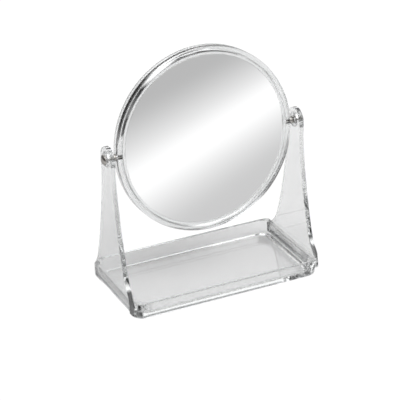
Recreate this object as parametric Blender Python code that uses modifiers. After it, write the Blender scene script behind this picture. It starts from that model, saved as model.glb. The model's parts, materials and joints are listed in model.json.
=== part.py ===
"""Clear plastic dresser stand: a vanity tray whose two end posts carry a round tilting mirror.

Metres, +Z up, -Y to the front. The origin is on the ground under the middle of the tray.
"""

from math import cos, pi, radians, sin

import bmesh
import bpy
from mathutils import Matrix, Vector

MM = 0.001
GAP = 0.3 * MM  # between pieces that touch

# Tray: a block that widens upwards, hollowed by another. Halves are (length, depth), and its
# underside rests on the ground
TRAY_HEIGHT = 14.0 * MM
TRAY_BOTTOM_HALF = (83.4 * MM, 42.8 * MM)
TRAY_RIM_HALF = (85.8 * MM, 45.0 * MM)
TRAY_CORNER = 10.0 * MM
TRAY_EDGE = 0.6 * MM
FLOOR_THICKNESS = 3.0 * MM
WELL_FLOOR_HALF = (75.9 * MM, 40.7 * MM)
WELL_RIM_HALF = (78.2 * MM, 42.2 * MM)
WELL_CORNER = 8.5 * MM
WELL_FILLET = 4.4 * MM

# Seat cut in each end of the tray for the foot of a post
SEAT_X = 81.6 * MM
SEAT_LEDGE = 3.4 * MM

# Posts
POST_THICKNESS = 3.9 * MM
POST_OUTER_X = 85.8 * MM
POST_INNER_X = POST_OUTER_X - POST_THICKNESS
POST_BOTTOM_Z = SEAT_LEDGE + GAP
PIVOT_Z = 124.2 * MM
HEAD_RADIUS = 10.3 * MM
FLANK_TOP_DROP = 10.7 * MM  # below the pivot, where the straight sides start to flare
FLANK_KNOT = (30.2 * MM, 22.7 * MM)  # half depth and height
FLANK_SLOPE = radians(54.4)
FOOT_HALF_DEPTH = 41.2 * MM
FOOT_WIDEST = 8.4 * MM  # height
FOOT_BOTTOM_HALF_DEPTH = 37.5 * MM
POST_EDGE = 0.35 * MM

# Pivot hardware
SHANK_RADIUS = 1.5 * MM
BORE_RADIUS = SHANK_RADIUS + GAP
SCREW_HEAD_RADIUS = 4.3 * MM
SCREW_HEAD_HEIGHT = 2.9 * MM
SHANK_END_X = 73.0 * MM
BUSH_RADIUS = 6.2 * MM
BUSH_PROUD = 0.4 * MM
SLEEVE_RADIUS = 3.0 * MM

# Mirror: the ring is made of two halves that meet in the plane of the pivot
TILT = radians(4.3)  # the top leans back
RING_RADIUS = 77.0 * MM
RING_HALF_THICKNESS = 4.5 * MM
RING_WALL_RADIUS = 72.9 * MM
LIP_RADIUS = 70.2 * MM
LIP_UNDERSIDE = 3.2 * MM
LIP_EDGE = 0.6 * MM
GLASS_RADIUS = 72.5 * MM
GLASS_THICKNESS = 1.2 * MM
GLASS_FACE = LIP_UNDERSIDE - GAP
MAGNIFIER_DEPTH = 2.0 * MM
FOAM_INNER_RADIUS = 68.5 * MM
FOAM_FRONT = GLASS_FACE - GLASS_THICKNESS - GAP
FOAM_REAR = -1.15 * MM
RING_STEPS = 72
SMALL_STEPS = 28


def clear_scene():
    for obj in list(bpy.data.objects):
        bpy.data.objects.remove(obj, do_unlink=True)


def new_collection(name):
    collection = bpy.data.collections.new(name)
    bpy.context.scene.collection.children.link(collection)
    return collection


def material(name, colour, roughness, metallic=0.0, transmission=0.0, alpha=1.0):
    made = bpy.data.materials.new(name)
    made.use_nodes = True
    shader = made.node_tree.nodes["Principled BSDF"]
    shader.inputs["Base Color"].default_value = (*colour, 1.0)
    shader.inputs["Roughness"].default_value = roughness
    shader.inputs["Metallic"].default_value = metallic
    shader.inputs["Transmission Weight"].default_value = transmission
    shader.inputs["Alpha"].default_value = alpha
    made.diffuse_color = (*colour, alpha)
    made.metallic = metallic
    made.roughness = roughness
    return made


def add_object(name, data, collection, finish=None):
    obj = bpy.data.objects.new(name, data)
    collection.objects.link(obj)
    if finish:
        data.materials.append(finish)
    return obj


def smooth(obj, angle=radians(35)):
    obj.data.shade_smooth()
    obj.data.set_sharp_from_angle(angle=angle)


# ---------------------------------------------------------------- tray


def tapered_block(name, low_half, high_half, low_z, high_z):
    """A block with unlike top and bottom, its four upright edges weighted for rounding."""
    solid = bmesh.new()
    bmesh.ops.create_cube(solid, size=2.0)
    weight = solid.edges.layers.float.new("bevel_weight_edge")
    for edge in solid.edges:
        one, other = edge.verts
        edge[weight] = float(one.co.z != other.co.z)
    for corner in solid.verts:
        x, y, z = corner.co
        half_x, half_y = high_half if z > 0 else low_half
        corner.co = (x * half_x, y * half_y, high_z if z > 0 else low_z)
    mesh = bpy.data.meshes.new(name)
    solid.to_mesh(mesh)
    solid.free()
    return mesh


def round_uprights(obj, radius):
    corners = obj.modifiers.new("round corners", "BEVEL")
    corners.limit_method = "WEIGHT"
    corners.width = radius
    corners.segments = 7


def round_edges(obj, width, segments):
    edges = obj.modifiers.new("round edges", "BEVEL")
    edges.limit_method = "ANGLE"
    edges.angle_limit = radians(60)
    edges.width = width
    edges.segments = segments


def box_mesh(name, low, high):
    solid = bmesh.new()
    bmesh.ops.create_cube(solid, size=1.0)
    size = Vector(high) - Vector(low)
    middle = (Vector(high) + Vector(low)) / 2
    place = Matrix.Translation(middle) @ Matrix.Diagonal((*size, 1.0))
    bmesh.ops.transform(solid, matrix=place, verts=solid.verts)
    mesh = bpy.data.meshes.new(name)
    solid.to_mesh(mesh)
    solid.free()
    return mesh


def cut(obj, cutter):
    cutter.hide_render = True
    cutter.display_type = "WIRE"
    boolean = obj.modifiers.new("cut by " + cutter.name, "BOOLEAN")
    boolean.operation = "DIFFERENCE"
    boolean.solver = "EXACT"
    boolean.object = cutter


def well_half_above_rim():
    """The well's slope carried on to one tray height above the rim, so that the cut is open."""
    rise = TRAY_HEIGHT / (TRAY_HEIGHT - FLOOR_THICKNESS)
    return [rim + (rim - low) * rise for low, rim in zip(WELL_FLOOR_HALF, WELL_RIM_HALF)]


def make_tray(parts, cutters, finish):
    block = tapered_block("tray", TRAY_BOTTOM_HALF, TRAY_RIM_HALF, 0.0, TRAY_HEIGHT)
    tray = add_object("tray", block, parts, finish)
    round_uprights(tray, TRAY_CORNER)
    hollow = tapered_block(
        "well", WELL_FLOOR_HALF, well_half_above_rim(), FLOOR_THICKNESS, 2 * TRAY_HEIGHT
    )
    well = add_object("well_cutter", hollow, cutters)
    round_uprights(well, WELL_CORNER)
    round_edges(well, WELL_FILLET, 5)
    cut(tray, well)
    round_edges(tray, TRAY_EDGE, 1)
    past_tray = 2 * TRAY_RIM_HALF[1]
    for side, word in ((-1, "left"), (1, "right")):
        ends = sorted((side * SEAT_X, side * 2 * SEAT_X))
        low = (ends[0], -past_tray, SEAT_LEDGE)
        high = (ends[1], past_tray, 2 * TRAY_HEIGHT)
        seat = add_object(word + "_seat_cutter", box_mesh(word + "_seat", low, high), cutters)
        cut(tray, seat)
    smooth(tray)


# ---------------------------------------------------------------- turned pieces


def lathe(name, profile, steps, collection, finish, closed=False):
    """Turns (radius, height) points about local Z. The outer side is listed from its top down."""
    mesh = bpy.data.meshes.new(name)
    edges = [(index, index + 1) for index in range(len(profile) - 1)]
    if closed:
        edges.append((len(profile) - 1, 0))
    mesh.from_pydata([(radius, 0.0, height) for radius, height in profile], edges, [])
    obj = add_object(name, mesh, collection, finish)
    screw = obj.modifiers.new("turn", "SCREW")
    screw.axis = "Z"
    screw.steps = steps
    screw.render_steps = steps
    screw.use_merge_vertices = True
    screw.merge_threshold = 0.000005
    screw.use_smooth_shade = True
    return obj


def tube_profile(inner, outer, bottom, top):
    return [(outer, top), (outer, bottom), (inner, bottom), (inner, top)]


def set_along_x(obj, side, x):
    """Puts a turned piece on the pivot axis, its local +Z pointing out of that side."""
    obj.rotation_euler = (0.0, side * pi / 2, 0.0)
    obj.location = (side * x, 0.0, obj.location.z)


# ---------------------------------------------------------------- posts


def add_bezier(curve, knots, closed=True):
    """Adds a spline through (point, handle before, handle after) knots."""
    spline = curve.splines.new("BEZIER")
    spline.bezier_points.add(len(knots) - 1)
    spline.use_cyclic_u = closed
    for target, (point, before, after) in zip(spline.bezier_points, knots):
        target.handle_left_type = target.handle_right_type = "FREE"
        target.co = (*point, 0.0)
        target.handle_left = (*before, 0.0)
        target.handle_right = (*after, 0.0)


def circle_knots(centre, radius):
    reach = radius * 4 / 3 * (2**0.5 - 1)
    knots = []
    for quarter in range(4):
        turn = quarter * pi / 2
        out = Vector((cos(turn), sin(turn)))
        along = Vector((-sin(turn), cos(turn)))
        point = Vector(centre) + radius * out
        knots.append((point, point - reach * along, point + reach * along))
    return knots


def post_side_knots():
    """Knots down the +Y side of a post, as (depth, height)."""
    round_reach = HEAD_RADIUS * 4 / 3 * (2**0.5 - 1)
    top = Vector((0.0, PIVOT_Z + HEAD_RADIUS))
    shoulder = Vector((HEAD_RADIUS, PIVOT_Z))
    flank_top = Vector((HEAD_RADIUS, PIVOT_Z - FLANK_TOP_DROP))
    knot = Vector(FLANK_KNOT)
    slope = Vector((cos(FLANK_SLOPE), -sin(FLANK_SLOPE)))
    widest = Vector((FOOT_HALF_DEPTH, FOOT_WIDEST))
    bottom = Vector((FOOT_BOTTOM_HALF_DEPTH, POST_BOTTOM_Z))
    down = Vector((0.0, -1.0))
    across = Vector((1.0, 0.0))
    straight = FLANK_TOP_DROP / 3
    return [
        (top, top - round_reach * across, top + round_reach * across),
        (shoulder, shoulder - round_reach * down, shoulder + straight * down),
        (flank_top, flank_top - straight * down, flank_top + 24.0 * MM * down),
        (knot, knot - 9.7 * MM * slope, knot + 11.4 * MM * slope),
        (widest, widest - 3.7 * MM * down, widest + 2.4 * MM * down),
        (bottom, bottom + 2.2 * MM * across, bottom - 25.0 * MM * across),
    ]


def mirrored(knots):
    """The other side's knots, in the order that closes the outline."""
    flip = Matrix.Diagonal((-1.0, 1.0))
    other = [(flip @ point, flip @ after, flip @ before) for point, before, after in knots]
    return other[:0:-1]


def trim_foot(solid, side):
    """Rounds the foot's outer upright corners to follow the rounded corners of the tray."""
    start = TRAY_RIM_HALF[1] - TRAY_CORNER
    furthest = FOOT_HALF_DEPTH - start
    for share in (0.0, 0.27, 0.52, 0.74):
        for way in (-1, 1):
            everything = solid.verts[:] + solid.edges[:] + solid.faces[:]
            place = (way * (start + share * furthest), 0.0, 0.0)
            bmesh.ops.bisect_plane(solid, geom=everything, plane_co=place, plane_no=(1.0, 0.0, 0.0))
    bmesh.ops.remove_doubles(solid, verts=solid.verts, dist=0.00009)
    for corner in solid.verts:
        past = abs(corner.co.x) - start
        if corner.co.z * side > 0 and past > 0:
            corner.co.z -= side * (TRAY_CORNER - (TRAY_CORNER**2 - past**2) ** 0.5)


def post_mesh(name, outer_side):
    curve = bpy.data.curves.new(name, "CURVE")
    curve.dimensions = "2D"
    curve.fill_mode = "BOTH"
    curve.extrude = POST_THICKNESS / 2
    curve.resolution_u = 8
    side = post_side_knots()
    add_bezier(curve, side + mirrored(side))
    add_bezier(curve, circle_knots((0.0, PIVOT_Z), BUSH_RADIUS + GAP))
    outline = bpy.data.objects.new(name + "_outline", curve)
    bpy.context.scene.collection.objects.link(outline)
    graph = bpy.context.evaluated_depsgraph_get()
    mesh = bpy.data.meshes.new_from_object(outline.evaluated_get(graph))
    bpy.data.objects.remove(outline, do_unlink=True)
    solid = bmesh.new()
    solid.from_mesh(mesh)
    bmesh.ops.remove_doubles(solid, verts=solid.verts, dist=0.00001)
    trim_foot(solid, outer_side)
    solid.to_mesh(mesh)
    solid.free()
    mesh.name = name
    return mesh


def make_posts(parts, finish):
    for side, word in ((-1, "left"), (1, "right")):
        post = add_object(word + "_post", post_mesh(word + "_post", side), parts, finish)
        post.location.x = side * (POST_OUTER_X + POST_INNER_X) / 2
        post.rotation_euler = (pi / 2, 0.0, pi / 2)
        round_edges(post, POST_EDGE, 2)
        smooth(post)


# ---------------------------------------------------------------- pivot hardware


def screw_profile():
    """A domed head on a plain shank, its underside at height 0."""
    shank = -(POST_OUTER_X + BUSH_PROUD + GAP - SHANK_END_X)
    rim = 0.5 * MM
    dome_steps = 7
    profile = []
    for step in range(dome_steps + 1):
        turn = step / dome_steps * pi / 2
        height = rim + (SCREW_HEAD_HEIGHT - rim) * cos(turn)
        profile.append((SCREW_HEAD_RADIUS * sin(turn), height))
    profile += [(SCREW_HEAD_RADIUS, rim / 2), (SCREW_HEAD_RADIUS - rim / 2, 0.0)]
    profile += [(SHANK_RADIUS, 0.0), (SHANK_RADIUS, shank), (0.0, shank)]
    return profile


def make_pivot_hardware(parts, tilting, finishes):
    bush_half = POST_THICKNESS / 2 + BUSH_PROUD
    bush_inner_end = POST_INNER_X - BUSH_PROUD
    sleeve_start = RING_RADIUS + GAP
    sleeve_end = bush_inner_end - GAP
    for side, word in ((-1, "left"), (1, "right")):
        bush_profile = tube_profile(BORE_RADIUS, BUSH_RADIUS, -bush_half, bush_half)
        bush = lathe(word + "_bush", bush_profile, SMALL_STEPS, parts, finishes["bush"], closed=True)
        bush.location.z = PIVOT_Z
        set_along_x(bush, side, (POST_OUTER_X + POST_INNER_X) / 2)
        sleeve_profile = tube_profile(BORE_RADIUS, SLEEVE_RADIUS, sleeve_start, sleeve_end)
        sleeve = lathe(word + "_sleeve", sleeve_profile, SMALL_STEPS, parts, finishes["chrome"], closed=True)
        screw = lathe(word + "_pivot_screw", screw_profile(), SMALL_STEPS, parts, finishes["chrome"])
        for piece, x in ((sleeve, 0.0), (screw, POST_OUTER_X + BUSH_PROUD + GAP)):
            piece.parent = tilting
            set_along_x(piece, side, x)


# ---------------------------------------------------------------- mirror


def bezel_profile():
    """Half of the ring's section: wall, face with a stepped lip, and the pocket for a mirror."""
    face = RING_HALF_THICKNESS
    step_radius = 73.4 * MM
    step_depth = 0.5 * MM
    round_off = 0.9 * MM
    return [
        (step_radius, face),
        (RING_RADIUS - round_off, face),
        (RING_RADIUS - 0.25 * MM, face - 0.35 * MM),
        (RING_RADIUS, face - round_off),
        (RING_RADIUS, GAP / 2),
        (RING_WALL_RADIUS, GAP / 2),
        (RING_WALL_RADIUS, LIP_UNDERSIDE),
        (LIP_RADIUS, LIP_UNDERSIDE),
        (LIP_RADIUS, LIP_UNDERSIDE + LIP_EDGE),
        (step_radius - 0.4 * MM, face - step_depth),
    ]


def magnifier_profile():
    """A disc dished away from the viewer behind it: thickness even, rim at the rear."""
    bend_steps = 5
    radii = [GLASS_RADIUS * step / bend_steps for step in range(bend_steps + 1)]
    sag = [MAGNIFIER_DEPTH * (1 - (radius / GLASS_RADIUS) ** 2) for radius in radii]
    front = [(radius, GLASS_THICKNESS - GLASS_FACE + rise) for radius, rise in zip(radii, sag)]
    rear = [(radius, -GLASS_FACE + rise) for radius, rise in zip(radii, sag)]
    return front + rear[::-1]


def pin_cutter(cutters, side, word):
    solid = bmesh.new()
    length = 8.0 * MM
    bmesh.ops.create_cone(
        solid, cap_ends=True, segments=SMALL_STEPS, radius1=BORE_RADIUS, radius2=BORE_RADIUS, depth=length
    )
    mesh = bpy.data.meshes.new(word + "_pin")
    solid.to_mesh(mesh)
    solid.free()
    cutter = add_object(word + "_pin_cutter", mesh, cutters)
    cutter.location.z = PIVOT_Z
    set_along_x(cutter, side, (RING_WALL_RADIUS + RING_RADIUS) / 2)
    return cutter


def make_mirror(parts, cutters, tilting, finishes):
    face_front = (pi / 2, 0.0, 0.0)
    face_rear = (-pi / 2, 0.0, 0.0)
    front_bezel = lathe("front_bezel", bezel_profile(), RING_STEPS, parts, finishes["clear"], closed=True)
    rear_bezel = lathe("rear_bezel", bezel_profile(), RING_STEPS, parts, finishes["clear"], closed=True)
    for side, word in ((-1, "left"), (1, "right")):
        cutter = pin_cutter(cutters, side, word)
        cut(front_bezel, cutter)
        cut(rear_bezel, cutter)
    back = GLASS_FACE - GLASS_THICKNESS
    flat_disc = [(0.0, GLASS_FACE), (GLASS_RADIUS, GLASS_FACE), (GLASS_RADIUS, back), (0.0, back)]
    front_mirror = lathe("front_mirror", flat_disc, RING_STEPS, parts, finishes["mirror"])
    rear_mirror = lathe("rear_mirror", magnifier_profile(), RING_STEPS, parts, finishes["mirror"])
    foam = tube_profile(FOAM_INNER_RADIUS, GLASS_RADIUS, FOAM_REAR, FOAM_FRONT)
    spacer_ring = lathe("spacer_ring", foam, RING_STEPS, parts, finishes["foam"], closed=True)
    for piece in (front_bezel, front_mirror, rear_mirror, spacer_ring):
        piece.parent = tilting
        piece.rotation_euler = face_front
    rear_bezel.parent = tilting
    rear_bezel.rotation_euler = face_rear


def main():
    clear_scene()
    parts = new_collection("dresser_vanity_tray")
    cutters = new_collection("cutters")
    cutters.hide_render = True
    finishes = {
        "clear": material("clear plastic", (0.93, 0.95, 0.95), 0.04, transmission=0.9, alpha=0.35),
        "mirror": material("silvered glass", (0.88, 0.89, 0.89), 0.02, metallic=1.0),
        "chrome": material("chrome", (0.78, 0.77, 0.75), 0.06, metallic=1.0),
        "bush": material("frosted bush", (0.85, 0.86, 0.86), 0.15, transmission=0.7, alpha=0.6),
        "foam": material("dark foam", (0.04, 0.037, 0.033), 0.8),
    }
    make_tray(parts, cutters, finishes["clear"])
    make_posts(parts, finishes["clear"])
    tilting = add_object("mirror_pivot", None, parts)
    tilting.location.z = PIVOT_Z
    tilting.rotation_euler.x = -TILT
    make_pivot_hardware(parts, tilting, finishes)
    make_mirror(parts, cutters, tilting, finishes)


main()
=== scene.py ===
"""Looks for the clear dresser stand: moulded tray, end posts and ring in clear plastic, silvered
mirrors, chrome pivot hardware, on a pale floor under soft studio light. Metres, +Z up."""

import json
from math import cos, pi, radians, sin, sqrt

import bmesh
import bpy
from mathutils import Matrix, Vector


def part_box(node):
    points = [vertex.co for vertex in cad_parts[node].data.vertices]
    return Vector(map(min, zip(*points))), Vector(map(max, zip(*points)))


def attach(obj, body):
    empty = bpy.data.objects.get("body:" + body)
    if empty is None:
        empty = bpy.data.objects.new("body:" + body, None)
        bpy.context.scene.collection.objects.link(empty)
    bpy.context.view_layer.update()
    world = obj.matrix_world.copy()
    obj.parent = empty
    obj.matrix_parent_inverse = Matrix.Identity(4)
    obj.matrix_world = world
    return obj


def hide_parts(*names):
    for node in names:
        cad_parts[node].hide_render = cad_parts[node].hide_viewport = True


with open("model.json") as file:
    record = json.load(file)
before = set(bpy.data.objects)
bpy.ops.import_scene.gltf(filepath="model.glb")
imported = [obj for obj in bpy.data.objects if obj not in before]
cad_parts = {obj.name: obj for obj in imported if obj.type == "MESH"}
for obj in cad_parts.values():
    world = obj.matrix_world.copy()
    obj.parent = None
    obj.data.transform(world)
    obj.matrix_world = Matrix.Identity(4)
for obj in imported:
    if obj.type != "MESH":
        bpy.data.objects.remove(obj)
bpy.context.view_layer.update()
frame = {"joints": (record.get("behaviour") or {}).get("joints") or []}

MM = 0.001
GAP = 0.3 * MM

# ---------------------------------------------------------------- sizes, as in the CAD

TRAY_HEIGHT = 14.0 * MM
TRAY_BOTTOM_HALF = (83.4 * MM, 42.8 * MM)
TRAY_RIM_HALF = (85.8 * MM, 45.0 * MM)
TRAY_CORNER = 10.0 * MM
TRAY_EDGE = 0.6 * MM
TRAY_FOOT_EDGE = 0.3 * MM
FLOOR_THICKNESS = 3.0 * MM
WELL_FLOOR_HALF = (75.9 * MM, 40.7 * MM)
WELL_RIM_HALF = (78.2 * MM, 42.2 * MM)
WELL_CORNER = 8.5 * MM
WELL_FILLET = 4.4 * MM
SEAT_X = 81.6 * MM
SEAT_LEDGE = 3.4 * MM

POST_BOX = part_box("right_post")
POST_THICKNESS = POST_BOX[1].x - POST_BOX[0].x
POST_MIDDLE_X = (POST_BOX[1].x + POST_BOX[0].x) / 2
POST_BOTTOM_Z = POST_BOX[0].z
PIVOT_Z = frame["joints"][0]["pos_m"][2]
HEAD_RADIUS = 10.3 * MM
BUSH_RADIUS = 6.2 * MM
FLANK_TOP_DROP = 10.7 * MM  # below the pivot, where the straight sides start to flare
FLANK_KNOT = (30.2 * MM, 22.7 * MM)  # half depth and height
FLANK_SLOPE = radians(54.4)
FOOT_HALF_DEPTH = 41.2 * MM
FOOT_WIDEST = 8.4 * MM  # height
FOOT_BOTTOM_HALF_DEPTH = 37.5 * MM
FOOT_TRIM_REACH = 6.1 * MM
POST_EDGE = 0.35 * MM
TILT = radians(4.3)  # the top leans back

RING_RADIUS = 77.0 * MM
RING_HALF = 4.5 * MM
RING_EDGE = 0.9 * MM
RING_FINE_EDGE = 0.2 * MM
RING_STEPS = 180
RING_WALL_RADIUS = 72.9 * MM
LIP_RADIUS = 70.2 * MM
LIP_UNDERSIDE = 3.2 * MM
LIP_EDGE = 0.6 * MM
LIP_STEP_RADIUS = 73.4 * MM
GLASS_RADIUS = 72.5 * MM
GLASS_THICKNESS = 1.2 * MM
GLASS_FACE = LIP_UNDERSIDE - GAP
GLASS_SEAM = 0.15 * MM
MAGNIFIER_DEPTH = 2.0 * MM
FOAM_INNER_RADIUS = 68.5 * MM
FOAM_REAR = -1.15 * MM
SHANK_RADIUS = 1.5 * MM
SHANK_INNER_END = 73.0 * MM
SCREW_HEAD_RADIUS = 4.3 * MM
SCREW_HEAD_RISE = 2.9 * MM
SCREW_RIM = 0.5 * MM
SLEEVE_RADIUS = 3.0 * MM
HARDWARE_EDGE = 0.3 * MM
HARDWARE_STEPS = 64
BORE_RADIUS = SHANK_RADIUS + GAP

# ---------------------------------------------------------------- camera


CAMERA_PLACE = (-0.4770, -0.99395, 0.61013)
CAMERA_TURN, CAMERA_FALL, CAMERA_ROLL = radians(25.41), radians(26.13), radians(-1.2)


def make_camera():
    """Looks down on the stand from its left front, through a long lens."""
    turn, fall, roll = CAMERA_TURN, CAMERA_FALL, CAMERA_ROLL
    forward = Vector((cos(fall) * sin(turn), cos(fall) * cos(turn), -sin(fall)))
    right = Vector((cos(turn), -sin(turn), 0.0))
    up = right.cross(forward)
    across = right * cos(roll) + up * sin(roll)
    above = up * cos(roll) - right * sin(roll)
    data = bpy.data.cameras.new("camera")
    data.lens = 135.0
    data.sensor_width = 36.0
    data.clip_start = 0.05
    data.clip_end = 60.0
    camera = bpy.data.objects.new("camera", data)
    turned_to = Matrix((across, above, -forward)).transposed().to_4x4()
    camera.matrix_world = Matrix.Translation(CAMERA_PLACE) @ turned_to
    bpy.context.scene.collection.objects.link(camera)
    bpy.context.scene.camera = camera


make_camera()

# ---------------------------------------------------------------- node helpers


class Nodes:
    """Short names for building a node tree."""

    def __init__(self, tree):
        self.tree = tree

    def add(self, kind, **settings):
        node = self.tree.nodes.new(kind)
        for name, value in settings.items():
            setattr(node, name, value)
        return node

    def set(self, node, **values):
        for name, value in values.items():
            node.inputs[name.replace("_", " ")].default_value = value
        return node

    def link(self, start, end):
        self.tree.links.new(start, end)

    def math(self, operation, one, other=None):
        node = self.add("ShaderNodeMath", operation=operation)
        for socket, value in zip(node.inputs, (one, other)):
            if value is None:
                continue
            if isinstance(value, (int, float)):
                socket.default_value = value
            else:
                self.link(value, socket)
        return node.outputs[0]

    def remap(self, value, low, high, to_low, to_high, shape="LINEAR"):
        node = self.add("ShaderNodeMapRange", interpolation_type=shape)
        self.link(value, node.inputs[0])
        for socket, number in zip(node.inputs[1:5], (low, high, to_low, to_high)):
            socket.default_value = number
        return node.outputs[0]

    def noise(self, vector, scale, detail=2.0, roughness=0.5):
        node = self.add("ShaderNodeTexNoise")
        node.inputs["Scale"].default_value = scale
        node.inputs["Detail"].default_value = detail
        node.inputs["Roughness"].default_value = roughness
        self.link(vector, node.inputs["Vector"])
        return node.outputs["Fac"]

    def along(self, vector, direction):
        """How far a point lies along a direction."""
        node = self.add("ShaderNodeVectorMath", operation="DOT_PRODUCT")
        node.inputs[1].default_value = direction
        self.link(vector, node.inputs[0])
        return node.outputs["Value"]

    def mix(self, share, one, other, output):
        """Joins two shaders and links them to the output."""
        node = self.add("ShaderNodeMixShader")
        for socket, value in zip(node.inputs, (share, one.outputs[0], other.outputs[0])):
            self.link(value, socket)
        self.link(node.outputs[0], output.inputs["Surface"])

    def ramp(self, value, dark, light):
        node = self.add("ShaderNodeValToRGB")
        node.color_ramp.elements[0].color = (*dark, 1.0)
        node.color_ramp.elements[1].color = (*light, 1.0)
        self.link(value, node.inputs[0])
        return node.outputs[0]

    def stretched(self, vector, scale, turn):
        node = self.add("ShaderNodeMapping")
        node.inputs["Scale"].default_value = scale
        node.inputs["Rotation"].default_value = turn
        self.link(vector, node.inputs["Vector"])
        return node.outputs["Vector"]

    def bump(self, height, distance):
        node = self.add("ShaderNodeBump")
        node.inputs["Strength"].default_value = 1.0
        node.inputs["Distance"].default_value = distance
        self.link(height, node.inputs["Height"])
        return node.outputs["Normal"]


def new_material(name):
    """An empty node material: the material, its nodes, its output and the object coordinates."""
    made = bpy.data.materials.new(name)
    made.use_nodes = True
    made.node_tree.nodes.clear()
    nodes = Nodes(made.node_tree)
    output = nodes.add("ShaderNodeOutputMaterial")
    place = nodes.add("ShaderNodeTexCoord").outputs["Object"]
    return made, nodes, output, place


def hairlines(nodes, place, scale):
    """Sparse fine scratches in two directions, 0 to 1."""
    found = None
    for turn in (0.4, 1.9):
        drawn_out = nodes.stretched(place, (scale, scale / 40, scale), (turn, turn, turn))
        lines = nodes.noise(drawn_out, 1.0, 3.0)
        sharp = nodes.remap(lines, 0.66, 0.72, 0.0, 1.0)
        found = sharp if found is None else nodes.math("MAXIMUM", found, sharp)
    return found


def clear_plastic(name, wave=0.000003, scratch=0.02, shade=0.93, depth_loss=5.0):
    """Polished acrylic: faintly wavy, with hairline scratches and a little grey in the depth."""
    made, nodes, output, place = new_material(name)
    shader = nodes.add("ShaderNodeBsdfPrincipled")
    nodes.set(shader, Base_Color=(0.985, 0.99, 0.99, 1.0), Transmission_Weight=1.0, IOR=1.49)
    scratches = hairlines(nodes, place, 900.0)
    haze = nodes.remap(nodes.noise(place, 35.0, 3.0), 0.35, 0.75, 0.0, 0.004)
    rough = nodes.math("ADD", haze, nodes.math("MULTIPLY", scratches, scratch))
    nodes.link(rough, shader.inputs["Roughness"])
    waves = nodes.noise(place, 60.0, 2.0, 0.4)
    nodes.link(nodes.bump(waves, wave), shader.inputs["Normal"])
    through = nodes.add("ShaderNodeBsdfTransparent")
    through.inputs["Color"].default_value = (shade, shade, shade, 1.0)
    path = nodes.add("ShaderNodeLightPath")
    lamp_ray = nodes.math("MAXIMUM", path.outputs["Is Shadow Ray"], path.outputs["Is Diffuse Ray"])
    nodes.mix(lamp_ray, shader, through, output)
    depth = nodes.add("ShaderNodeVolumeAbsorption")
    nodes.set(depth, Color=(0.0, 0.03, 0.03, 1.0), Density=depth_loss)
    nodes.link(depth.outputs[0], output.inputs["Volume"])
    return made


def silvered_glass(name):
    """A mirror's bright face with a little dust, over a dark painted edge and back."""
    made, nodes, output, place = new_material(name)
    silver = nodes.add("ShaderNodeBsdfPrincipled")
    nodes.set(silver, Base_Color=(0.93, 0.935, 0.935, 1.0), Metallic=1.0)
    dust = nodes.remap(nodes.noise(place, 1500.0, 4.0, 0.6), 0.68, 0.8, 0.0, 0.06)
    nodes.link(nodes.math("ADD", dust, 0.008), silver.inputs["Roughness"])
    nodes.link(nodes.bump(nodes.noise(place, 14.0, 1.0), 0.000004), silver.inputs["Normal"])
    paint = nodes.add("ShaderNodeBsdfPrincipled")
    tone = nodes.ramp(nodes.noise(place, 400.0, 4.0), (0.030, 0.026, 0.022), (0.060, 0.054, 0.047))
    nodes.link(tone, paint.inputs["Base Color"])
    nodes.link(nodes.remap(nodes.noise(place, 900.0, 3.0), 0.3, 0.7, 0.35, 0.6), paint.inputs["Roughness"])
    nodes.link(nodes.bump(nodes.noise(place, 1200.0, 3.0), 0.000006), paint.inputs["Normal"])
    face = nodes.add("ShaderNodeAttribute", attribute_name="silvered")
    nodes.mix(face.outputs["Fac"], paint, silver, output)
    return made


def chrome(name):
    """Bright-plated steel with a little wear. Its colour is darkened as painted shade, for the dark room seen
    in its reflections.
    """
    made, nodes, output, place = new_material(name)
    shader = nodes.add("ShaderNodeBsdfPrincipled")
    # Painted shade: the plating's colour is darkened to stand in for the dark room it reflects.
    nodes.set(shader, Base_Color=(0.42, 0.405, 0.385, 1.0), Metallic=1.0)
    wear = nodes.remap(nodes.noise(place, 900.0, 4.0, 0.6), 0.45, 0.75, 0.03, 0.16)
    nodes.link(wear, shader.inputs["Roughness"])
    nodes.link(nodes.bump(nodes.noise(place, 500.0, 3.0), 0.00002), shader.inputs["Normal"])
    nodes.link(shader.outputs[0], output.inputs["Surface"])
    return made


def frosted_bush(name):
    """Clear nylon with a slightly frosted, turned surface."""
    made, nodes, output, place = new_material(name)
    shader = nodes.add("ShaderNodeBsdfPrincipled")
    nodes.set(shader, Transmission_Weight=0.96, IOR=1.5)
    tone = nodes.ramp(nodes.noise(place, 700.0, 4.0), (0.80, 0.81, 0.81), (0.92, 0.93, 0.93))
    nodes.link(tone, shader.inputs["Base Color"])
    nodes.link(nodes.remap(nodes.noise(place, 1200.0, 2.0), 0.3, 0.7, 0.03, 0.14), shader.inputs["Roughness"])
    nodes.link(nodes.bump(nodes.noise(place, 900.0, 3.0), 0.00008), shader.inputs["Normal"])
    nodes.link(shader.outputs[0], output.inputs["Surface"])
    return made


def foam(name):
    """Dark closed-cell foam."""
    made, nodes, output, place = new_material(name)
    shader = nodes.add("ShaderNodeBsdfPrincipled")
    cells = nodes.add("ShaderNodeTexVoronoi")
    cells.inputs["Scale"].default_value = 2500.0
    nodes.link(place, cells.inputs["Vector"])
    tone = nodes.ramp(cells.outputs["Distance"], (0.020, 0.018, 0.016), (0.060, 0.055, 0.050))
    nodes.link(tone, shader.inputs["Base Color"])
    nodes.set(shader, Roughness=0.85)
    nodes.link(nodes.bump(cells.outputs["Distance"], 0.0001), shader.inputs["Normal"])
    nodes.link(shader.outputs[0], output.inputs["Surface"])
    return made


TRAY_PLASTIC = clear_plastic("tray plastic", shade=0.87, depth_loss=4.0)
POST_PLASTIC = clear_plastic("post plastic")
RING_PLASTIC = clear_plastic("ring plastic", wave=0.000002, scratch=0.0)
SILVER = silvered_glass("silvered glass")
CHROME_WITH_PAINTED_SHADE = chrome("chrome")
NYLON = frosted_bush("clear nylon")
FOAM = foam("dark foam")

# ---------------------------------------------------------------- shape helpers


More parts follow.
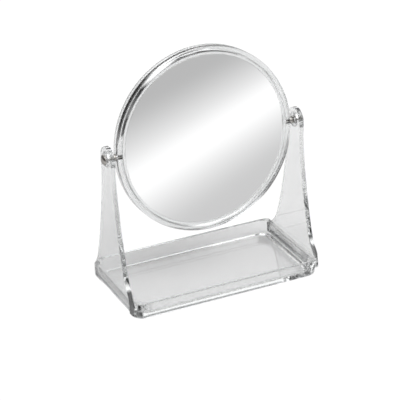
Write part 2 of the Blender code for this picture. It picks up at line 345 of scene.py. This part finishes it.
def add_piece(name, mesh, finish, body, node):
    """A piece that stands for a CAD node, whose part it hides. Its body argument is not used."""
    piece = bpy.data.objects.new(name, mesh)
    bpy.context.scene.collection.objects.link(piece)
    mesh.materials.clear()
    mesh.materials.append(finish)
    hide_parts(node)
    return piece


def evaluated_mesh(obj, name):
    """The object's mesh with its modifiers applied. The object is removed."""
    bpy.context.view_layer.update()
    graph = bpy.context.evaluated_depsgraph_get()
    mesh = bpy.data.meshes.new_from_object(obj.evaluated_get(graph))
    mesh.name = name
    bpy.data.objects.remove(obj, do_unlink=True)
    return mesh


def loose_object(name, mesh):
    obj = bpy.data.objects.new(name, mesh)
    bpy.context.scene.collection.objects.link(obj)
    return obj


def smooth(mesh, angle=radians(32)):
    mesh.shade_smooth()
    mesh.set_sharp_from_angle(angle=angle)


def rounded_rectangle(half_x, half_y, radius, z, steps=20):
    """Points round a level rectangle with rounded corners."""
    corners = ((1, 1, 0.0), (-1, 1, pi / 2), (-1, -1, pi), (1, -1, 3 * pi / 2))
    points = []
    for side_x, side_y, start in corners:
        centre = Vector((side_x * (half_x - radius), side_y * (half_y - radius), z))
        for step in range(steps + 1):
            turn = start + step / steps * pi / 2
            points.append(centre + radius * Vector((cos(turn), sin(turn), 0.0)))
    return points


def finished(solid, name):
    """The mesh of a bmesh, which is freed."""
    mesh = bpy.data.meshes.new(name)
    solid.to_mesh(mesh)
    solid.free()
    return mesh


def loft(name, loops):
    """A closed skin over loops of points, from the lowest to the last."""
    solid = bmesh.new()
    rings = [[solid.verts.new(point) for point in loop] for loop in loops]
    for low, high in zip(rings, rings[1:]):
        for index, corner in enumerate(low):
            after = (index + 1) % len(low)
            solid.faces.new((corner, low[after], high[after], high[index]))
    solid.faces.new(reversed(rings[0]))
    solid.faces.new(rings[-1])
    return finished(solid, name)


def box_mesh(name, low, high):
    solid = bmesh.new()
    bmesh.ops.create_cube(solid, size=1.0)
    size = Vector(high) - Vector(low)
    place = Matrix.Translation((Vector(high) + Vector(low)) / 2) @ Matrix.Diagonal((*size, 1.0))
    bmesh.ops.transform(solid, matrix=place, verts=solid.verts)
    return finished(solid, name)


def cut_mesh(obj, cutter_meshes, name):
    """The object's mesh less the cutters. The object and the cutters are removed."""
    cutters = [loose_object("cutter", mesh) for mesh in cutter_meshes]
    for cutter in cutters:
        boolean = obj.modifiers.new("cut", "BOOLEAN")
        boolean.operation = "DIFFERENCE"
        boolean.solver = "EXACT"
        boolean.object = cutter
    mesh = evaluated_mesh(obj, name)
    for cutter in cutters:
        bpy.data.objects.remove(cutter, do_unlink=True)
    smooth(mesh)
    return mesh


def bevel(obj, width, segments):
    edge = obj.modifiers.new("edge", "BEVEL")
    edge.width = width
    edge.segments = segments
    edge.limit_method = "ANGLE"
    edge.angle_limit = radians(60)
    edge.harden_normals = True


# ---------------------------------------------------------------- tray


def tray_outline(height, grow=0.0):
    """(half width, half depth, corner radius) of the tray's outside at a height."""
    share = height / TRAY_HEIGHT
    half_x, half_y = (low + (high - low) * share for low, high in zip(TRAY_BOTTOM_HALF, TRAY_RIM_HALF))
    return half_x + grow, half_y + grow, TRAY_CORNER + grow


def well_outline(height, grow=0.0):
    """The same for the inside of its wall."""
    share = (height - FLOOR_THICKNESS) / (TRAY_HEIGHT - FLOOR_THICKNESS)
    half_x, half_y = (low + (high - low) * share for low, high in zip(WELL_FLOOR_HALF, WELL_RIM_HALF))
    return half_x + grow, half_y + grow, WELL_CORNER + grow


def tray_mesh():
    """Up the outside, over the rim, down the inside and round the fillet to the floor."""
    edge, foot_edge, edge_steps, fillet_steps = TRAY_EDGE, TRAY_FOOT_EDGE, 5, 14
    loops = []
    for step in range(2 * edge_steps + 1):
        turn = step / edge_steps * pi / 4
        height = foot_edge * (1 - cos(turn))
        loops.append(rounded_rectangle(*tray_outline(height, -foot_edge * (1 - sin(turn))), height))
    for share in (0.25, 0.5, 0.75):
        height = foot_edge + (TRAY_HEIGHT - edge - foot_edge) * share
        loops.append(rounded_rectangle(*tray_outline(height), height))
    for step in range(edge_steps + 1):
        turn = step / edge_steps * pi / 2
        height = TRAY_HEIGHT - edge * (1 - sin(turn))
        loops.append(rounded_rectangle(*tray_outline(height, -edge * (1 - cos(turn))), height))
    for step in range(edge_steps + 1):
        turn = step / edge_steps * pi / 2
        height = TRAY_HEIGHT - edge * (1 - cos(turn))
        loops.append(rounded_rectangle(*well_outline(height, edge * (1 - sin(turn))), height))
    fillet_top = FLOOR_THICKNESS + WELL_FILLET
    for step in range(fillet_steps + 1):
        turn = step / fillet_steps * pi / 2
        height = fillet_top - WELL_FILLET * sin(turn)
        loops.append(rounded_rectangle(*well_outline(fillet_top, -WELL_FILLET * (1 - cos(turn))), height))
    return loft("tray", loops)


def make_tray():
    past = 2 * TRAY_RIM_HALF[1]
    seats = []
    for side in (-1, 1):
        near, far = sorted((side * SEAT_X, side * 2 * SEAT_X))
        seats.append(box_mesh("seat", (near, -past, SEAT_LEDGE), (far, past, 2 * TRAY_HEIGHT)))
    mesh = cut_mesh(loose_object("tray_blank", tray_mesh()), seats, "tray_moulding")
    piece = add_piece("tray_moulding", mesh, TRAY_PLASTIC, "base", "tray")
    piece.modifiers.new("even normals", "WEIGHTED_NORMAL").keep_sharp = True
    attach(piece, "base")


# ---------------------------------------------------------------- posts


def add_bezier(curve, knots):
    """A closed spline through (point, handle before, handle after)."""
    spline = curve.splines.new("BEZIER")
    spline.bezier_points.add(len(knots) - 1)
    spline.use_cyclic_u = True
    for target, (point, before, after) in zip(spline.bezier_points, knots):
        target.handle_left_type = target.handle_right_type = "FREE"
        target.co = (*point, 0.0)
        target.handle_left = (*before, 0.0)
        target.handle_right = (*after, 0.0)


QUARTER_REACH = 4 / 3 * (sqrt(2) - 1)  # handle length of a quarter circle of radius 1


def circle_knots(centre, radius):
    reach = radius * QUARTER_REACH
    knots = []
    for quarter in range(4):
        turn = quarter * pi / 2
        out = Vector((cos(turn), sin(turn)))
        along = Vector((-sin(turn), cos(turn)))
        point = Vector(centre) + radius * out
        knots.append((point, point - reach * along, point + reach * along))
    return knots


def post_side_knots():
    """(point, handle before, handle after) down the +Y side, as in the CAD."""
    reach = HEAD_RADIUS * QUARTER_REACH
    drop = FLANK_TOP_DROP
    slope = Vector((cos(FLANK_SLOPE), -sin(FLANK_SLOPE)))
    down, across = Vector((0.0, -1.0)), Vector((1.0, 0.0))
    top = Vector((0.0, PIVOT_Z + HEAD_RADIUS))
    shoulder = Vector((HEAD_RADIUS, PIVOT_Z))
    flank_top = Vector((HEAD_RADIUS, PIVOT_Z - drop))
    knot = Vector(FLANK_KNOT)
    widest = Vector((FOOT_HALF_DEPTH, FOOT_WIDEST))
    bottom = Vector((FOOT_BOTTOM_HALF_DEPTH, POST_BOTTOM_Z))
    return [
        (top, top - reach * across, top + reach * across),
        (shoulder, shoulder - reach * down, shoulder + drop / 3 * down),
        (flank_top, flank_top - drop / 3 * down, flank_top + 24.0 * MM * down),
        (knot, knot - 9.7 * MM * slope, knot + 11.4 * MM * slope),
        (widest, widest - 3.7 * MM * down, widest + 2.4 * MM * down),
        (bottom, bottom + 2.2 * MM * across, bottom - 25.0 * MM * across),
    ]


def trim_foot(solid, side):
    """Rounds the foot's outer upright corners to follow the rounded corners of the tray."""
    start = TRAY_RIM_HALF[1] - TRAY_CORNER
    steps = 14
    for step in range(steps):
        for way in (-1, 1):
            everything = solid.verts[:] + solid.edges[:] + solid.faces[:]
            place = (way * (start + FOOT_TRIM_REACH * sin(step / steps * pi / 2)), 0.0, 0.0)
            bmesh.ops.bisect_plane(solid, geom=everything, plane_co=place, plane_no=(1.0, 0.0, 0.0))
    for corner in solid.verts:
        past = abs(corner.co.x) - start
        if corner.co.z * side > 0 and past > 0:
            corner.co.z -= side * (TRAY_CORNER - sqrt(TRAY_CORNER**2 - past**2))


def post_mesh(outer_side):
    curve = bpy.data.curves.new("post_outline", "CURVE")
    curve.dimensions = "2D"
    curve.fill_mode = "BOTH"
    curve.extrude = POST_THICKNESS / 2
    curve.resolution_u = 28
    side = post_side_knots()
    flip = Matrix.Diagonal((-1.0, 1.0))
    other = [(flip @ point, flip @ after, flip @ before) for point, before, after in side]
    add_bezier(curve, side + other[:0:-1])
    add_bezier(curve, circle_knots((0.0, PIVOT_Z), BUSH_RADIUS + GAP / 2))
    solid = bmesh.new()
    solid.from_mesh(evaluated_mesh(loose_object("post_outline", curve), "post"))
    bmesh.ops.remove_doubles(solid, verts=solid.verts, dist=0.00001)
    trim_foot(solid, outer_side)
    mesh = finished(solid, "post")
    smooth(mesh, radians(50))
    blank = loose_object("post_blank", mesh)
    bevel(blank, POST_EDGE, 3)
    return evaluated_mesh(blank, "post")


def make_posts():
    for side, word in ((-1, "left"), (1, "right")):
        mesh = post_mesh(side)
        piece = add_piece(word + "_side_post", mesh, POST_PLASTIC, "base", word + "_post")
        piece.location.x = side * POST_MIDDLE_X
        piece.rotation_euler = (pi / 2, 0.0, pi / 2)
        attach(piece, "base")


# ---------------------------------------------------------------- turned pieces


def turned(name, profile, steps, closed=False, sharp=32):
    """The mesh of (radius, height) points turned about Z. The outer side runs from its top down."""
    mesh = bpy.data.meshes.new(name)
    edges = [(index, index + 1) for index in range(len(profile) - 1)]
    if closed:
        edges.append((len(profile) - 1, 0))
    mesh.from_pydata([(radius, 0.0, height) for radius, height in profile], edges, [])
    obj = loose_object(name + "_profile", mesh)
    screw = obj.modifiers.new("turn", "SCREW")
    screw.axis = "Z"
    screw.steps = screw.render_steps = steps
    screw.use_merge_vertices = True
    screw.merge_threshold = 0.000002
    made = evaluated_mesh(obj, name)
    smooth(made, radians(sharp))
    return made


def rounded_corner(centre, radius, start, end, steps):
    """(radius, height) points on an arc, angles in degrees from the outward direction."""
    points = []
    for step in range(steps + 1):
        turn = radians(start + (end - start) * step / steps)
        points.append((centre[0] + radius * cos(turn), centre[1] + radius * sin(turn)))
    return points


def place_on_axis(piece, side, x):
    """Turns a piece's +Z outwards along the pivot axis, on one side of the stand."""
    piece.rotation_euler = (0.0, side * pi / 2, 0.0)
    piece.location = (side * x, 0.0, PIVOT_Z)


# ---------------------------------------------------------------- ring and mirrors


def bezel_profile():
    """Half of the ring's section: face, outer wall, middle plane, pocket wall and lip."""
    outer, face = RING_RADIUS, RING_HALF
    round_off, fine = RING_EDGE, RING_FINE_EDGE
    profile = [(LIP_STEP_RADIUS, face)]
    profile += rounded_corner((outer - round_off, face - round_off), round_off, 90, 0, 8)
    profile += rounded_corner((outer - fine, GAP / 2 + fine), fine, 0, -90, 3)
    profile += [(RING_WALL_RADIUS, GAP / 2), (RING_WALL_RADIUS, LIP_UNDERSIDE)]
    profile += [(LIP_RADIUS, LIP_UNDERSIDE)]
    lip_top = LIP_UNDERSIDE + LIP_EDGE
    profile += rounded_corner((LIP_RADIUS + fine, lip_top - fine), fine, 180, 90, 3)
    profile += [(LIP_STEP_RADIUS - 0.4 * MM, face - 0.5 * MM)]
    return profile


def pin_mesh(side):
    """A cutter for the pivot hole in the ring's wall."""
    solid = bmesh.new()
    bmesh.ops.create_cone(
        solid, cap_ends=True, segments=40, radius1=BORE_RADIUS, radius2=BORE_RADIUS, depth=8.0 * MM
    )
    wall = Matrix.Translation((side * (RING_WALL_RADIUS + RING_RADIUS) / 2, 0.0, 0.0))
    bmesh.ops.transform(solid, matrix=wall @ Matrix.Rotation(pi / 2, 4, "Y"), verts=solid.verts)
    return finished(solid, "pin")


def make_bezels(ring_place):
    for word, facing in (("front", 0.0), ("rear", pi)):
        name = word + "_bezel_ring"
        blank = loose_object("bezel_blank", turned(name, bezel_profile(), RING_STEPS, closed=True))
        mesh = cut_mesh(blank, [pin_mesh(side) for side in (-1, 1)], name)
        piece = add_piece(name, mesh, RING_PLASTIC, "mirror", word + "_bezel")
        piece.matrix_world = ring_place @ Matrix.Rotation(facing, 4, "X")
        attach(piece, "mirror")


def disc_profile(face, back):
    """A glass disc with ground seams on its edges, from face down to back."""
    radius, seam = GLASS_RADIUS, GLASS_SEAM
    front = [(0.0, face), (radius - seam, face), (radius, face - seam)]
    return front + [(radius, back + seam), (radius - seam, back), (0.0, back)]


def mark_silvered(mesh, outward):
    """1 on the faces that look out of the ring on this mirror's side, 0 on its edge and back."""
    layer = mesh.attributes.new("silvered", "FLOAT", "FACE")
    for face, value in zip(mesh.polygons, layer.data):
        value.value = float(face.normal.z * outward > 0.9)


def make_mirrors(ring_place):
    back = GLASS_FACE - GLASS_THICKNESS
    front = turned("front_mirror_glass", disc_profile(GLASS_FACE, back), RING_STEPS, sharp=25)
    steps, dish = 24, MAGNIFIER_DEPTH
    low = []
    for step in range(steps + 1):
        share = step / steps
        low.append((GLASS_RADIUS * share, -GLASS_FACE + dish * (1 - share**2)))
    top = [(radius, height + GLASS_THICKNESS) for radius, height in low]
    rear = turned("rear_mirror_glass", top + low[::-1], RING_STEPS, sharp=25)
    for mesh, node, outward in ((front, "front_mirror", 1), (rear, "rear_mirror", -1)):
        mark_silvered(mesh, outward)
        piece = add_piece(mesh.name, mesh, SILVER, "mirror", node)
        piece.matrix_world = ring_place
        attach(piece, "mirror")
    inner, outer = FOAM_INNER_RADIUS, GLASS_RADIUS
    low_z, high_z = FOAM_REAR, back - GAP
    profile = [(outer, high_z), (outer, low_z), (inner, low_z), (inner, high_z)]
    mesh = turned("foam_spacer", profile, 120, closed=True)
    piece = add_piece("foam_spacer", mesh, FOAM, "mirror", "spacer_ring")
    piece.matrix_world = ring_place
    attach(piece, "mirror")


# ---------------------------------------------------------------- pivot hardware


def screw_mesh(name):
    """A domed head above its seat at height 0, and the shank below it."""
    head, rise, rim, edge, steps = SCREW_HEAD_RADIUS, SCREW_HEAD_RISE, SCREW_RIM, HARDWARE_EDGE, 16
    shank_end = -(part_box("right_bush")[1].x + GAP - SHANK_INNER_END)
    profile = []
    for step in range(steps + 1):
        turn = step / steps * pi / 2
        profile.append((head * sin(turn), rim + (rise - rim) * cos(turn)))
    profile += [(head, rim / 2), (head - rim / 2, 0.0), (SHANK_RADIUS, 0.0)]
    profile += [(SHANK_RADIUS, shank_end + edge), (SHANK_RADIUS - edge, shank_end), (0.0, shank_end)]
    return turned(name, profile, HARDWARE_STEPS)


def tube(name, outer, half):
    """A tube round the shank, with rounded outer edges."""
    edge = HARDWARE_EDGE
    profile = rounded_corner((outer - edge, half - edge), edge, 90, 0, 4)
    profile += rounded_corner((outer - edge, edge - half), edge, 0, -90, 4)
    profile += [(BORE_RADIUS, -half), (BORE_RADIUS, half)]
    return turned(name, profile, HARDWARE_STEPS, closed=True)


def make_hardware():
    bush_low, bush_high = (corner.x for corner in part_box("right_bush"))
    sleeve_low, sleeve_high = (corner.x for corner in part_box("right_sleeve"))
    for side, word in ((-1, "left"), (1, "right")):
        bush = tube(word + "_nylon_bush", BUSH_RADIUS, (bush_high - bush_low) / 2)
        piece = add_piece(bush.name, bush, NYLON, "base", word + "_bush")
        place_on_axis(piece, side, (bush_high + bush_low) / 2)
        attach(piece, "base")
        sleeve = tube(word + "_chrome_sleeve", SLEEVE_RADIUS, (sleeve_high - sleeve_low) / 2)
        piece = add_piece(sleeve.name, sleeve, CHROME_WITH_PAINTED_SHADE, "mirror", word + "_sleeve")
        place_on_axis(piece, side, (sleeve_high + sleeve_low) / 2)
        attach(piece, "mirror")
        screw = screw_mesh(word + "_domed_screw")
        piece = add_piece(screw.name, screw, CHROME_WITH_PAINTED_SHADE, "mirror", word + "_pivot_screw")
        place_on_axis(piece, side, bush_high + GAP)
        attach(piece, "mirror")


RING_PLACE = (
    Matrix.Translation((0.0, 0.0, PIVOT_Z)) @ Matrix.Rotation(-TILT, 4, "X") @ Matrix.Rotation(pi / 2, 4, "X")
)
make_tray()
make_posts()
make_bezels(RING_PLACE)
make_mirrors(RING_PLACE)
make_hardware()

# ---------------------------------------------------------------- floor and light


def flat_disc(name, radius, height):
    """A level disc that belongs to the stage."""
    solid = bmesh.new()
    bmesh.ops.create_circle(solid, cap_ends=True, segments=64, radius=radius)
    bmesh.ops.translate(solid, verts=solid.verts, vec=(0.0, 0.0, height))
    disc = loose_object(name, finished(solid, name))
    return disc


# Painted shade: the pale floor's lit colour is painted dark beyond this distance at the rear left, standing
# in for where the lamps don't reach
PAINTED_SHADE_START = 0.6
PAINTED_SHADE_AZIMUTH = 325.0


def level(azimuth):
    """The level direction at an azimuth in degrees from +Y towards +X."""
    return sin(radians(azimuth)), cos(radians(azimuth)), 0.0


def make_floor():
    """A pale floor: as bright as the lit backdrop in the picture, and shaded by the stand where it is
    seen through the plastic. Far off at the rear left its lit colour has painted shade."""
    floor = flat_disc("floor", 25.0, -0.2 * MM)
    made, nodes, output, place = new_material("pale floor")
    lit = nodes.add("ShaderNodeBsdfDiffuse")
    tone = nodes.ramp(nodes.noise(place, 4.0, 3.0), (0.88, 0.88, 0.88), (0.92, 0.92, 0.92))
    away = nodes.along(place, level(PAINTED_SHADE_AZIMUTH))
    # Painted shade: the lit colour fades to dark far off at the rear left.
    painted_far_shade = nodes.remap(away, PAINTED_SHADE_START, PAINTED_SHADE_START * 1.3, 1.0, 0.05, "SMOOTHSTEP")
    shade = nodes.add("ShaderNodeVectorMath", operation="SCALE")
    nodes.link(tone, shade.inputs[0])
    nodes.link(painted_far_shade, shade.inputs["Scale"])
    nodes.link(shade.outputs[0], lit.inputs["Color"])
    bright = nodes.add("ShaderNodeEmission")
    bright.inputs["Strength"].default_value = 1.1
    path = nodes.add("ShaderNodeLightPath")
    nodes.mix(nodes.math("MULTIPLY", path.outputs["Is Camera Ray"], 0.92), lit, bright, output)
    floor.data.materials.append(made)


# The card's greys by distance in metres from a line through the middle of the stand. A ramp can't hold
# a grey above 1, so the greys are divided by the glow and the emission multiplies them by it again.
CARD_AZIMUTH = 38.0
CARD_GLOW = 1.25
CARD_GREYS = (
    (0.07, 0.64), (0.10, 0.64), (0.125, 0.72), (0.155, 0.90), (0.185, 1.10), (0.205, 1.18),
    (0.225, 1.10), (0.26, 0.86), (0.30, 0.68), (0.34, 0.53), (0.37, 0.52), (0.5, 0.52),
)


def make_card():
    """A graded card lying round the stand, seen only in reflections: it gives the mirrors their band
    of light."""
    card = flat_disc("card", 1.6, -0.1 * MM)
    made, nodes, output, place = new_material("graded card")
    distance = nodes.math("ABSOLUTE", nodes.along(place, level(CARD_AZIMUTH)))
    ramp = nodes.add("ShaderNodeValToRGB")
    ramp.color_ramp.interpolation = "B_SPLINE"
    elements = ramp.color_ramp.elements
    for metres, grey in CARD_GREYS[1:-1]:
        elements.new(metres).color = (*[grey / CARD_GLOW] * 3, 1.0)
    for element, (metres, grey) in ((elements[0], CARD_GREYS[0]), (elements[-1], CARD_GREYS[-1])):
        element.position, element.color = metres, (*[grey / CARD_GLOW] * 3, 1.0)
    nodes.link(distance, ramp.inputs[0])
    glow = nodes.add("ShaderNodeEmission")
    glow.inputs["Strength"].default_value = CARD_GLOW
    nodes.link(ramp.outputs[0], glow.inputs["Color"])
    nodes.link(glow.outputs[0], output.inputs["Surface"])
    card.data.materials.append(made)
    card.visible_camera = False
    card.visible_diffuse = False
    card.visible_transmission = False
    card.visible_shadow = False


# Softboxes and flags: (azimuth from +Y towards +X, elevation, full out to, none beyond) in degrees, and
# strength. A softbox adds its strength. A flag has a negative one, and takes away that share of what the
# entries before it add up to, so the order counts.
SOFTBOXES = {
    "key": (165.0, 58.0, 12.0, 46.0, 1.95),
    "overhead": (0.0, 90.0, 15.0, 55.0, 0.55),
    "left flag": (232.0, 28.0, 20.0, 38.0, -0.95),
    "rear flag": (8.0, 26.0, 26.0, 42.0, -0.93),
    "rear": (27.0, 26.0, 4.0, 13.0, 1.45),
    "rear top": (353.0, 35.0, 8.0, 21.0, 1.8),
}
ROOM_GREY = 0.25


def make_world():
    """A grey room with large softboxes and dark flags. The camera itself sees a white backdrop."""
    world = bpy.data.worlds.new("studio")
    bpy.context.scene.world = world
    world.use_nodes = True
    world.node_tree.nodes.clear()
    nodes = Nodes(world.node_tree)
    output = nodes.add("ShaderNodeOutputWorld")
    room = nodes.add("ShaderNodeBackground")
    direction = nodes.add("ShaderNodeTexCoord").outputs["Generated"]
    light = ROOM_GREY
    for azimuth, elevation, full, none, strength in SOFTBOXES.values():
        turn, rise = radians(azimuth), radians(elevation)
        towards = nodes.along(direction, (cos(rise) * sin(turn), cos(rise) * cos(turn), sin(rise)))
        glow = nodes.remap(towards, cos(radians(none)), cos(radians(full)), 0.0, strength, "SMOOTHSTEP")
        if strength < 0.0:
            light = nodes.math("MULTIPLY", nodes.math("ADD", glow, 1.0), light)
        else:
            light = nodes.math("ADD", glow, light)
    nodes.link(light, room.inputs["Color"])
    backdrop = nodes.add("ShaderNodeBackground")
    path = nodes.add("ShaderNodeLightPath")
    nodes.mix(path.outputs["Is Camera Ray"], room, backdrop, output)


make_floor()
make_card()
make_world()


def set_light_paths():
    """Enough bounces for light that is passed along inside the clear walls, and a denoiser that
    isn't led by the normals behind them."""
    paths = bpy.context.scene.cycles
    paths.max_bounces = 32
    paths.glossy_bounces = 24
    paths.transmission_bounces = 32
    paths.transparent_max_bounces = 24
    paths.denoising_input_passes = "RGB_ALBEDO"
    paths.filter_width = 1.8
    bpy.context.scene.view_settings.view_transform = "Standard"


set_light_paths()
